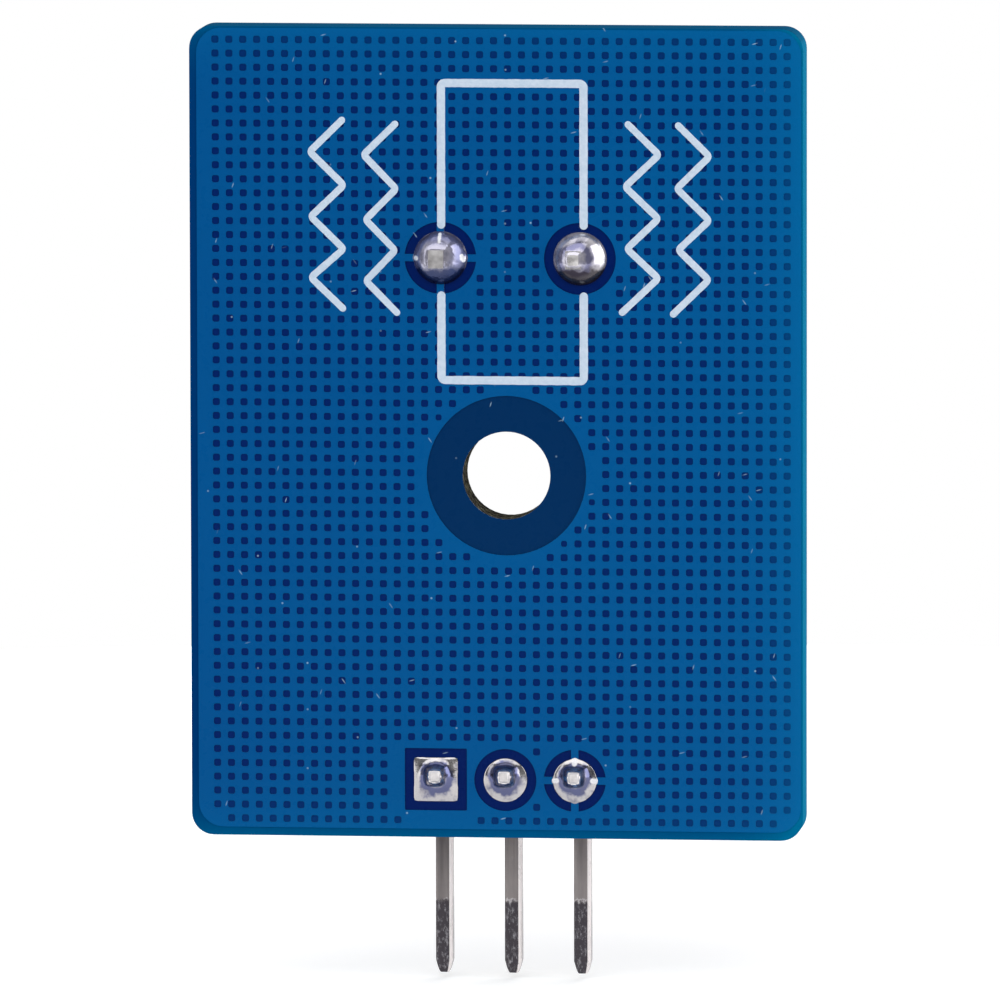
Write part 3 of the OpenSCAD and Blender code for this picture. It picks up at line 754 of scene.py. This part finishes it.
def spokes():
    """Copper spokes of the two ground pads, as rectangles."""
    bars = []
    for x, z, pad in ((header_x[2], header_z, header_pad), (switch_x[0], switch_z, switch_pad)):
        reach = pad / 2 + PAD_GAP + SPOKE_W / 2
        h = SPOKE_W / 2
        bars += [(x - reach, z - h, x + reach, z + h), (x - h, z - reach, x + h, z + reach)]
    return bars


def hatch_windows(clear):
    """Centre and scale of each window, by column and row. The two lower corners have none."""
    windows = {}
    for i in range(HATCH_COLUMNS):
        for j in range(HATCH_ROWS):
            x = HATCH_LEFT + i * HATCH_PITCH
            z = HATCH_TOP - j * HATCH_PITCH
            lower_corner = j == HATCH_ROWS - 1 and i in (0, HATCH_COLUMNS - 1)
            if not lower_corner and all(hatch_may_start(s, x, z) for s in clear):
                near_hole = math.hypot(x, z) < HOLE_START + SHRINK_RANGE
                windows[(i, j)] = (x, z, SHRUNK if near_hole else 1.0)
    return windows


def in_rounded(box, corner, x, z):
    """Whether a point is in a rectangle (x0, z0, x1, z1) with rounded corners."""
    x0, z0, x1, z1 = box
    dx = max(x0 + corner - x, x - x1 + corner, 0)
    dz = max(z0 + corner - z, z - z1 + corner, 0)
    return x0 < x < x1 and z0 < z < z1 and math.hypot(dx, dz) < corner


def back_mask():
    """Mask of the solder side, which follows the hatch, the clearances and the spokes below it."""
    clear = clearances()
    openings = mask_openings()
    bars = spokes()
    windows = hatch_windows(clear)
    left, right, low, high = POUR_INSET
    pour = (board_lo.x + left, board_lo.z + low, board_hi.x - right, board_hi.z - high)
    board = (board_lo.x, board_lo.z, board_hi.x, board_hi.z)
    loops = [rect_points(*board, CORNER_R), rect_points(*pour, POUR_CORNER)]
    loops += [shape_loop(s) for s in clear + openings]
    loops += [rect_points(*bar) for bar in bars]
    loops += [window_points(*c) for c in windows.values()]

    def in_window(x, z):
        i = round((x - HATCH_LEFT) / HATCH_PITCH)
        j = round((HATCH_TOP - z) / HATCH_PITCH)
        if (i, j) not in windows:
            return False
        cx, cz, scale = windows[(i, j)]
        dx, dz = abs(x - cx), abs(z - cz)
        half = HATCH_WINDOW / 2 * scale
        return max(dx, dz) < half and dx + dz < 2 * half - HATCH_BEVEL

    def level(x, z):
        if not in_rounded(board, CORNER_R, x, z) or any(inside(s, x, z) for s in openings):
            return None
        if not in_rounded(pour, POUR_CORNER, x, z):
            return BACK_WINDOW, 4
        if any(inside(s, x, z) for s in clear):
            if any(a < x < c and b < z < d for a, b, c, d in bars):
                return BACK_TOP, 0
            return BACK_LOW, 2 if math.hypot(x, z) < HOLE_RING_D else 3
        if in_window(x, z):
            return BACK_WINDOW, 1
        return BACK_TOP, 0

    relief_sheet("back_mask", loops, level, 0.0, "back_solder_mask",
                 [MASK_OVER_COPPER, *MASK_OVER_LAMINATE])


back_mask()

# ---- solder side: printed sign ----

BOX_LEFT, BOX_RIGHT = -2.36, 2.83
BOX_TOP, BOX_BOTTOM = 14.28, 3.47
BREAK_TOP, BREAK_BOTTOM = 8.98, 6.70
# Corners of the zigzags, from left to right and from the top down
ZIGZAGS = (
    ((-5.89, 12.99), (-7.15, 11.75), (-5.91, 10.54), (-7.12, 9.39), (-5.92, 8.22), (-7.12, 7.17),
     (-5.87, 5.97)),
    ((-3.95, 12.86), (-5.19, 11.65), (-4.00, 10.42), (-5.12, 9.29), (-4.04, 8.18), (-5.11, 7.06),
     (-3.90, 5.83)),
    ((4.36, 12.90), (5.57, 11.72), (4.34, 10.55), (5.55, 9.40), (4.40, 8.30), (5.55, 7.23),
     (4.14, 5.90)),
    ((6.19, 12.87), (7.41, 11.67), (6.22, 10.50), (7.40, 9.35), (6.27, 8.27), (7.38, 7.19),
     (6.00, 5.85)),
)


def sign():
    """Box outline with a break at each switch pad, and two zigzags on both sides of it."""
    mesh = Mesh()
    halves = [[(BOX_LEFT, near), (BOX_LEFT, far), (BOX_RIGHT, far), (BOX_RIGHT, near)]
              for near, far in ((BREAK_TOP, BOX_TOP), (BREAK_BOTTOM, BOX_BOTTOM))]
    for line, width in [(n, BOX_LINE) for n in halves] + [(n, ZIGZAG_LINE) for n in ZIGZAGS]:
        ribbon(mesh, line, width, BACK_TOP, INK_T * 0.95, 0.07)
    add_piece("printed_sign", mesh.verts, mesh.faces, "ink", "back_silkscreen", 40)


sign()

# ---- solder joints ----

# Profile of a header joint: share of the way out from the pin, and share of the height
CONE = ((1.0, 0.0), (1.0, 0.05), (0.97, 0.085), (0.9, 0.105), (0.8, 0.135), (0.68, 0.185),
        (0.56, 0.26), (0.44, 0.36), (0.32, 0.5), (0.22, 0.64), (0.13, 0.8), (0.06, 0.92), (0.0, 1.0))


def cap_profile(top, base, height, lift, steps=16):
    """Rise of a spherical cap from its rim to a lead's edge, and a lift where it skins the lead."""
    radius = (base ** 2 + height ** 2) / (2 * height)
    low = math.sqrt(radius ** 2 - base ** 2)
    rise = math.sqrt(radius ** 2 - top ** 2) - low
    pairs = []
    skinned = 0.16
    for k in range(steps + 1):
        share = 1 - k / steps
        r = top + (base - top) * share
        up = (math.sqrt(radius ** 2 - r ** 2) - low) / rise * (1 - lift)
        pairs.append((share, up + lift * max(0.0, 1 - share / skinned)))
    return [(1.0, 0.0)] + [(share, max(0.03, up)) for share, up in pairs]


def mound(mesh, x, z, base, top, height, profile, cx, cz, nubs, seed, count=72):
    """Solder from a pad's edge up to a lead. base(a) and top(a) give the radius by angle, profile
    pairs the share of the way out with the share of the height, (cx, cz) is the lead's place off
    the pad's centre, and nubs are the angles of tinned spoke ends."""
    rng = random.Random(seed)
    phases = [rng.random() * 6.28 for _ in range(4)]
    mean = sum(min(base(k * math.pi / 4), base(0.0)) for k in range(8)) / 8
    out = []
    for share, rise in profile:
        ring = []
        for i in range(count):
            a = 2 * math.pi * i / count
            wave = sum(math.sin((n + 2) * a + p) for n, p in enumerate(phases)) / 4
            rim = mean + (base(a) - mean) * share ** 5
            r = top(a) + (rim - top(a)) * share
            r *= 1 + 0.02 * wave * math.sin(math.pi * rise)
            for nub in nubs:
                away = abs((a - nub + math.pi) % (2 * math.pi) - math.pi)
                r += 0.04 * math.exp(-(away / 0.13) ** 4) * share ** 12
            shift = 1 - share ** 1.5
            ring.append((x + cx * shift + r * math.cos(a), -COPPER_T - height * rise,
                         z + cz * shift + r * math.sin(a)))
        out.append(ring[::-1])
    mesh.loft(out)


def square_radius(half, corner):
    """Radius of a square with eased corners, by angle."""
    def radius(a):
        c, s = abs(math.cos(a)), abs(math.sin(a))
        p = 2 + 2 / corner
        return half / (c ** p + s ** p) ** (1 / p)
    return radius


def round_radius(radius):
    """Radius of a circle, by angle."""
    return lambda a: radius


CONE_HEIGHT = 0.52
# Of the left and the right dome: half width at the top, rise, and lift over the lead
DOMES = ((0.36, 0.58, 0.0), (0.2, 0.66, 0.06))
DOME_HEIGHT = 0.62
# From a terminal's outer side to the middle of its lead
LEAD_IN = 0.31


def header_joints():
    """Cones round the header pins' tails."""
    header = Mesh()
    pin_lo, pin_hi = box_mm("signal_pin")
    pin = pin_hi.x - pin_lo.x
    pin_z = pin_hi.z - pin / 2
    pad = header_pad / 2 + SOLDER_LAP
    for k, x in enumerate(header_x):
        base = square_radius(pad, 0.12) if k == 0 else round_radius(pad)
        nubs = [n * math.pi / 2 for n in range(4)] if k == 2 else []
        mound(header, x, header_z, base, square_radius(pin * 0.33, 0.3), CONE_HEIGHT, CONE, 0.0,
              pin_z - header_z, nubs, seed=k)
    add_piece("header_joints", header.verts, header.faces, "solder", "header_solder_joints", 50)


def switch_joints():
    """Domes over the switch's leads."""
    indices = []
    domes = Mesh()
    lead_x = (box_mm("ground_terminal")[0].x + LEAD_IN, box_mm("signal_terminal")[1].x - LEAD_IN)
    pad = switch_pad / 2 + SOLDER_LAP
    for k, x in enumerate(switch_x):
        nubs = [0.0, math.pi] if k == 0 else []
        top, rise, lift = DOMES[k]
        mound(domes, x, switch_z, round_radius(pad), square_radius(top, 0.4), rise,
              cap_profile(top, pad, DOME_HEIGHT, lift), lead_x[k] - x, 0.0, nubs, seed=5 + k)
        indices += [1 - k] * (len(domes.faces) - len(indices))
    # The skinned lead of the right joint ends the list
    indices[-1] = 2
    add_piece("switch_joints", domes.verts, domes.faces, "solder", "switch_solder_joints", 50,
              [SWITCH_SOLDER, ROUGH_SOLDER, SOLDERED_TIP], indices)


header_joints()
switch_joints()


# Share of its width that a terminal keeps at the tip
CRIMP = 0.9


def formed_terminal(node, shorten):
    """A terminal strip whose lead is shortened and ends in a slightly crimped tip."""
    data = frame["nodes"][node].data
    tip = box_mm(node)[0].y + 0.1
    verts = []
    ends = [v.co / MM for v in data.vertices if v.co.y / MM < tip]
    cx = (min(v.x for v in ends) + max(v.x for v in ends)) / 2
    cz = (min(v.z for v in ends) + max(v.z for v in ends)) / 2
    for v in data.vertices:
        p = v.co / MM
        if p.y < tip:
            p = Vector((cx + (p.x - cx) * CRIMP, p.y + shorten, cz + (p.z - cz) * CRIMP))
        verts.append(tuple(p))
    faces = [tuple(f.vertices) for f in data.polygons]
    add_piece("formed_" + node, verts, faces, "lead_tin", node, 30)


formed_terminal("ground_terminal", 0.0)
formed_terminal("signal_terminal", 0.06)

# ---- header pins ----

# At a pin's soldered and free end: how far from the end, and the share of its width there
TAIL_TAPER = ((0.0, 0.42), (0.05, 0.58), (0.4, 1.0))
TIP_TAPER = ((0.5, 1.0), (0.45, 0.985), (0.2, 0.78), (0.05, 0.6), (0.0, 0.5))
BEND_INNER_R = 0.15
PIN_CORNER_R = 0.13


def pin_piece(node):
    """Square pin with rounded edges, bent on a radius, tapered at both ends."""
    lo, hi = box_mm(node)
    x = (lo.x + hi.x) / 2
    half = (hi.x - lo.x) / 2
    bend = BEND_INNER_R + half
    leg_y = hi.y - half
    top_z = hi.z - half
    # Along the pin: y, z, the turn so far and the share of its width
    path = [(lo.y + away, top_z, 0, share) for away, share in TAIL_TAPER]
    path.append((leg_y - bend, top_z, 0, 1.0))
    for k in range(1, 9):
        t = math.radians(90 * k / 8)
        path.append((leg_y - bend + bend * math.sin(t), top_z - bend + bend * math.cos(t), t, 1.0))
    path += [(leg_y, lo.z + away, math.pi / 2, share) for away, share in TIP_TAPER]
    mesh = Mesh()
    rings = []
    for y, z, turn, scale in path:
        section = rect_points(-half, -half, half, half, PIN_CORNER_R, 3)
        normal = (math.sin(turn), math.cos(turn))
        ring = [(x + u * scale, y + v * scale * normal[0], z + v * scale * normal[1])
                for u, v in section]
        rings.append(ring)
    mesh.loft(rings)
    # Each ring starts with its front right corner, then the right side
    count = len(rings[0])
    corner_faces = count // 4 - 1
    flanks = len(mesh.faces) - 2
    # Faces of the front right corner edge take the painted highlight, and the faces of both sides the
    # lighter side tint
    indices = []
    for k in range(flanks):
        part = k % count
        if k < 2 * count:
            indices.append(3)
        elif part < corner_faces:
            indices.append(2)
        else:
            indices.append(1 if part % (2 * (corner_faces + 1)) == corner_faces else 0)
    indices += [3, 0]
    add_piece("tinned_" + node, mesh.verts, mesh.faces, "pin_metal", node, 35,
              [PIN_METAL, PIN_SIDE, PIN_HIGHLIGHT, PIN_TIP], indices)


for pin_node in PINS:
    pin_piece(pin_node)

# ---- component side ----


def bevelled(node, width, slot, steps=3):
    """A copy of a CAD node's mesh with its edges eased."""
    bm = bmesh.new()
    bm.from_mesh(frame["nodes"][node].data)
    bmesh.ops.remove_doubles(bm, verts=bm.verts, dist=0.0005 * MM)
    bmesh.ops.dissolve_limit(bm, angle_limit=math.radians(1), verts=bm.verts, edges=bm.edges)
    sharp = [e for e in bm.edges if len(e.link_faces) == 2
             and e.calc_face_angle(0.0) > math.radians(30)]
    bmesh.ops.bevel(bm, geom=sharp, offset=width * MM, offset_type="OFFSET", segments=steps,
                    profile=0.5, affect="EDGES", clamp_overlap=True)
    verts = [tuple(v.co / MM) for v in bm.verts]
    bm.verts.index_update()
    faces = [tuple(v.index for v in f.verts) for f in bm.faces]
    bm.free()
    add_piece("eased_" + node, verts, faces, slot, node, 40)


def top_loops(node):
    """Outlines, in x and z, of the faces of a CAD node that look out on the component side."""
    data = frame["nodes"][node].data
    used = []
    for face in data.polygons:
        if face.normal.y > 0.99:
            ids = list(face.vertices)
            used += zip(ids, ids[1:] + ids[:1])

    def key(i):
        co = data.vertices[i].co / MM
        return (round(co.x, 4), round(co.z, 4))

    ahead = {}
    edges = {(key(a), key(b)) for a, b in used}
    for a, b in edges:
        if (b, a) not in edges and a != b:
            ahead.setdefault(a, []).append(b)
    loops = []
    while ahead:
        start = next(iter(ahead))
        loop = [start]
        while ahead.get(loop[-1]):
            here = loop[-1]
            there = ahead[here].pop()
            if not ahead[here]:
                del ahead[here]
            if there == start:
                break
            loop.append(there)
        if len(loop) > 2:
            loops.append(loop)
    return loops


def in_loops(loops, x, z):
    """Whether a point is inside an odd number of the loops."""
    odd = False
    for loop in loops:
        for (x0, z0), (x1, z1) in zip(loop, loop[1:] + loop[:1]):
            if (z0 > z) != (z1 > z) and x < x0 + (z - z0) * (x1 - x0) / (z1 - z0):
                odd = not odd
    return odd


def front_mask():
    """Mask of the component side, raised where a track runs under it."""
    outline = top_loops("front_solder_mask")
    tracks = top_loops("front_copper_tracks")

    def level(x, z):
        if not in_loops(outline, x, z):
            return None
        return (FRONT_TOP, 0) if in_loops(tracks, x, z) else (FRONT_LOW, 1)

    relief_sheet("front_mask", outline + tracks, level, BOARD_T, "front_solder_mask",
                 [MASK_OVER_COPPER, FRONT_LAMINATE])


front_mask()


def housing():
    """Moulded case of the switch: eased edges, a sunk panel on top, and the cavity below."""
    lo, hi = box_mm("switch_housing")
    wall = 0.7
    r = 0.6
    ease = 0.3
    panel = 0.75

    def ring(inset, y, corner):
        pts = rect_points(lo.x + inset, lo.z + inset, hi.x - inset, hi.z - inset, corner, 8)
        return [(x, y, z) for x, z in reversed(pts)]

    # From the roof of the cavity down its wall, round the foot and up the outside
    rings = [ring(wall, hi.y - wall, 0.3), ring(wall, lo.y, 0.3), ring(wall - 0.1, lo.y, 0.32),
             ring(0.08, lo.y, r - 0.05), ring(0.0, lo.y + 0.08, r), ring(0.0, (lo.y + hi.y) / 2, r),
             ring(0.0, hi.y - ease, r)]
    for k in range(1, 7):
        t = math.radians(15 * k)
        inset = ease * (1 - math.cos(t))
        rings.append(ring(inset, hi.y - ease + ease * math.sin(t), max(0.3, r - inset)))
    rings += [ring(panel, hi.y, 0.4), ring(panel + 0.05, hi.y - 0.02, 0.38),
              ring(panel + 0.09, hi.y - 0.08, 0.36)]
    mesh = Mesh()
    mesh.loft(rings)
    add_piece("moulded_case", mesh.verts, mesh.faces, "case_plastic", "switch_housing", 35)


housing()
bevelled("header_body", 0.06, "header_plastic")
bevelled("resistor_body", 0.03, "alumina")
bevelled("capacitor_body", 0.05, "capacitor_ceramic")
bevelled("resistor_end_caps", 0.03, "chip_tin", 2)
bevelled("capacitor_end_caps", 0.04, "chip_tin", 2)

# ---- stage, lights and camera ----

FLOOR_Z = cad_bounds[0][2] - 0.0002
FLOOR_RADIUS = 0.11
# What the floor adds to its own light to look white, near the object and at its rim
FLOOR_GLOW = 0.36
RIM_GLOW = 0.8
WORLD_LIGHT = 0.4
# Metal in front of the object mirrors the dim room behind the camera, and white elsewhere
ROOM_LIGHT = 0.18


def ray_kinds(tree):
    """Sockets that are 1 for camera rays, for glossy rays and for transmission rays."""
    path = tree.nodes.new("ShaderNodeLightPath")
    return [path.outputs[n] for n in ("Is Camera Ray", "Is Glossy Ray", "Is Transmission Ray")]


def stage_floor():
    """Pale round floor: it takes shadows, and glows white to camera, glossy and transmission rays."""
    mat = bpy.data.materials.new("floor")
    mat.use_nodes = True
    tree = mat.node_tree
    tree.nodes.remove(tree.nodes["Principled BSDF"])
    diffuse = tree.nodes.new("ShaderNodeBsdfDiffuse")
    diffuse.inputs["Color"].default_value = (0.8, 0.8, 0.8, 1)
    camera, glossy, through = ray_kinds(tree)
    seen = calc(tree, "MAXIMUM", calc(tree, "MAXIMUM", camera, glossy), through)
    coords = tree.nodes.new("ShaderNodeTexCoord")
    rim = ramp(tree, from_hole(tree, coords), 0.5 * FLOOR_RADIUS, 0.9 * FLOOR_RADIUS, FLOOR_GLOW,
               RIM_GLOW)
    glow = tree.nodes.new("ShaderNodeEmission")
    tree.links.new(calc(tree, "MULTIPLY", seen, rim), glow.inputs["Strength"])
    both = tree.nodes.new("ShaderNodeAddShader")
    tree.links.new(diffuse.outputs[0], both.inputs[0])
    tree.links.new(glow.outputs[0], both.inputs[1])
    tree.links.new(both.outputs[0], tree.nodes["Material Output"].inputs["Surface"])
    rim_points = circle_points(0, 0, FLOOR_RADIUS, 96)
    mesh = bpy.data.meshes.new("floor")
    mesh.from_pydata([(x, y, 0) for x, y in rim_points], [], [tuple(range(len(rim_points)))])
    mesh.materials.append(mat)
    obj = add_object("floor", mesh)
    obj.location = (0, 0, FLOOR_Z)


def stage_world():
    """White to the camera, a soft light to the object, and dimmer in front to glossy rays."""
    world = bpy.data.worlds.new("studio")
    bpy.context.scene.world = world
    world.use_nodes = True
    tree = world.node_tree
    base = tree.nodes["Background"]
    base.inputs["Color"].default_value = (1, 1, 1, 1)
    camera, glossy, through = ray_kinds(tree)
    coords = tree.nodes.new("ShaderNodeTexCoord")
    split = tree.nodes.new("ShaderNodeSeparateXYZ")
    tree.links.new(coords.outputs["Generated"], split.inputs["Vector"])
    around = ramp(tree, split.outputs["Y"], -0.35, 0.3, ROOM_LIGHT, 1.0)
    white = calc(tree, "MAXIMUM", camera, through)
    mirrored = calc(tree, "MULTIPLY", glossy, around)
    rest = calc(tree, "SUBTRACT", 1.0, calc(tree, "MAXIMUM", white, glossy))
    lit = calc(tree, "MULTIPLY", rest, WORLD_LIGHT)
    total = calc(tree, "ADD", calc(tree, "ADD", white, mirrored), lit)
    tree.links.new(total, base.inputs["Strength"])


# Name, place, width and height, and watts
LIGHTS = (
    ("strip_right", (0.42, -0.10, 0.08), (0.26, 0.45), 1.0),
    ("front_top", (-0.04, -0.44, 0.42), (0.7, 0.45), 1.7),
    ("fill_left", (-0.38, -0.24, 0.1), (0.2, 0.4), 0.35),
    ("top", (0.0, 0.05, 0.42), (0.4, 0.4), 0.4),
    ("back", (0.14, 0.42, 0.24), (0.4, 0.4), 1.0),
)


def area_light(name, place, size, watts):
    """A rectangular lamp that looks at the mounting hole."""
    data = bpy.data.lights.new(name, "AREA")
    data.shape = "RECTANGLE"
    data.size, data.size_y = size
    data.energy = watts
    obj = add_object(name, data)
    obj.location = place
    obj.rotation_euler = (-Vector(place)).to_track_quat("-Z", "Y").to_euler()


stage_floor()
stage_world()
for light in LIGHTS:
    area_light(*light)

# Angles in degrees, distance and aim in millimetres
CAMERA_AZIMUTH = 6.07
CAMERA_ELEVATION = 6.04
CAMERA_ROLL = -0.11
CAMERA_DISTANCE = 571.3
FOCAL_PIXELS = 15735.0
AIM = (-0.2415, 0.0, -0.896)
IMAGE_SIZE = 1000
SENSOR = 36.0


def add_camera():
    az, el = math.radians(CAMERA_AZIMUTH), math.radians(CAMERA_ELEVATION)
    back = Vector((math.sin(az) * math.cos(el), -math.cos(az) * math.cos(el), math.sin(el)))
    data = bpy.data.cameras.new("camera")
    data.sensor_width = SENSOR
    data.lens = FOCAL_PIXELS / IMAGE_SIZE * SENSOR
    data.clip_start = 0.01
    obj = add_object("camera", data)
    obj.location = (Vector(AIM) + back * CAMERA_DISTANCE) * MM
    obj.rotation_euler = back.to_track_quat("Z", "Y").to_euler()
    obj.rotation_euler.rotate_axis("Z", math.radians(CAMERA_ROLL))
    bpy.context.scene.camera = obj


add_camera()
bpy.context.scene.view_settings.view_transform = "Standard"
